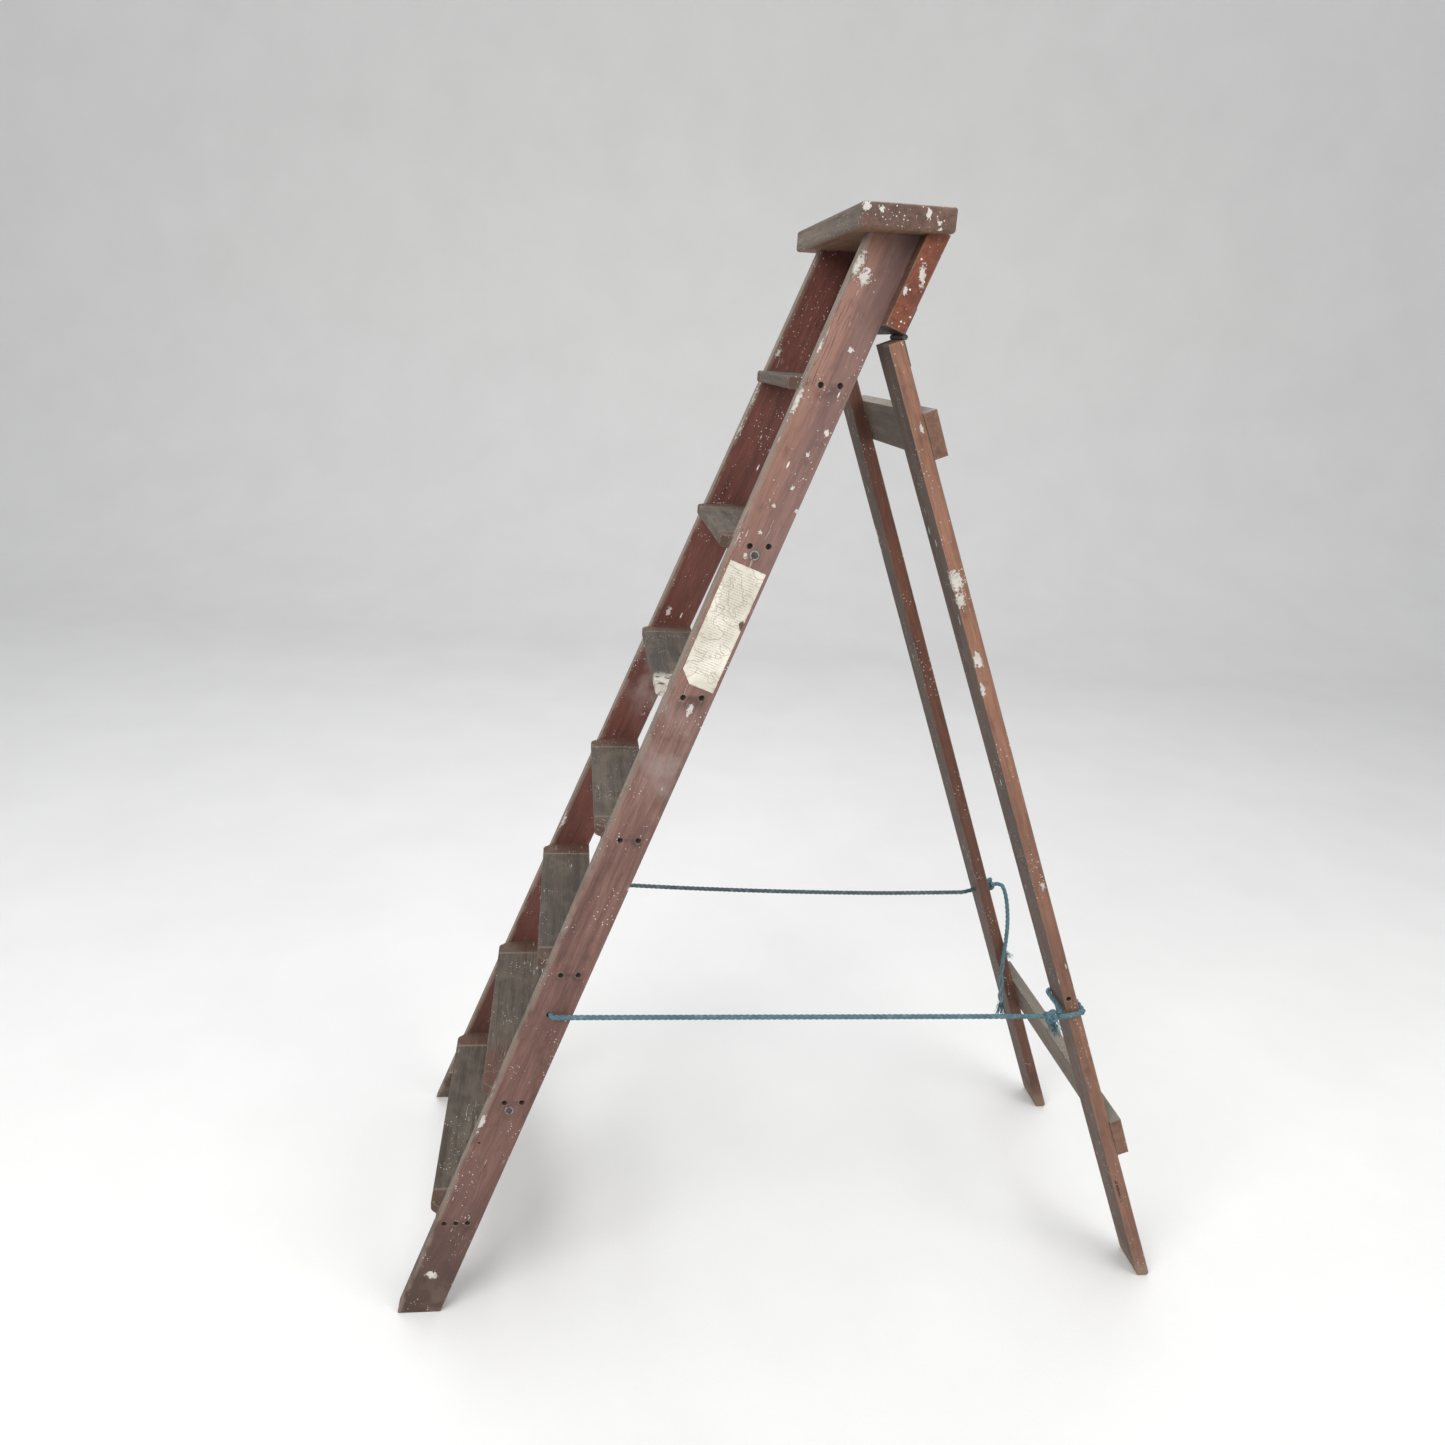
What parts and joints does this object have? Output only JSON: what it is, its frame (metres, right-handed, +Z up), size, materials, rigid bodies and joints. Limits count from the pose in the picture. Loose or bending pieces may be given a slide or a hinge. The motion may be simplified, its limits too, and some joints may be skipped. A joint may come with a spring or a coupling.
{
  "type": "step ladder",
  "caption": "Old timber step ladder with a flat top platform, hinged rear frame, rope stays and worn paint.",
  "frame": {"origin": "on the floor, midway between the front and rear feet and between the two sides", "axes": "+Z up, -Y towards the climber at the front, +X to the climber's right"},
  "size_m": [0.562, 1.3606, 1.786],
  "materials": {
    "stile_timber": "worn red-brown paint and stain",
    "tread_timber": "weathered grey-brown",
    "rear_timber": "worn brown, rough",
    "zinc_steel": "dull grey",
    "dark_steel": "dark, rusted",
    "rope": "faded blue three-strand",
    "paper": "aged paper, matt"
  },
  "bodies": {
    "front_frame": {"right_stile": "stile_timber", "left_stile": "stile_timber", "tread_1": "tread_timber", "tread_2": "tread_timber", "tread_3": "tread_timber", "tread_4": "tread_timber", "tread_5": "tread_timber", "tread_6": "tread_timber", "tread_7": "tread_timber", "platform": "stile_timber", "hinge_board": "stile_timber", "lower_tie_rod": "zinc_steel", "upper_tie_rod": "zinc_steel", "tie_rod_washers": "zinc_steel", "tread_screws_right": "dark_steel", "tread_screws_left": "dark_steel", "platform_screws": "dark_steel", "hinge_board_screws": "dark_steel", "paper_label": "paper", "right_hinge_fixed_leaf": "dark_steel", "left_hinge_fixed_leaf": "dark_steel", "right_hinge_pin": "dark_steel", "left_hinge_pin": "dark_steel", "hinge_fixed_screws": "dark_steel", "right_rope_stile_knot": "rope", "right_rope": "rope", "left_rope_stile_knot": "rope", "left_rope": "rope"},
    "rear_frame": {"right_rear_leg": "rear_timber", "left_rear_leg": "rear_timber", "upper_cross_rail": "rear_timber", "lower_cross_rail": "rear_timber", "cross_rail_screws": "dark_steel", "right_hinge_moving_leaf": "dark_steel", "left_hinge_moving_leaf": "dark_steel", "hinge_moving_screws": "dark_steel", "right_rope_noose_knot": "rope", "right_rope_noose": "rope", "left_rope_leg_knot": "rope", "left_rope_tail": "rope"}
  },
  "joints": [
    {"name": "rear_frame_fold", "type": "hinge", "parent": "front_frame", "child": "rear_frame", "pos_m": [0, 0.03813, 1.61996], "axis": [-1, 0, 0], "range_deg": [0, 40.7], "deforming": ["right_rope", "left_rope"]}
  ]
}
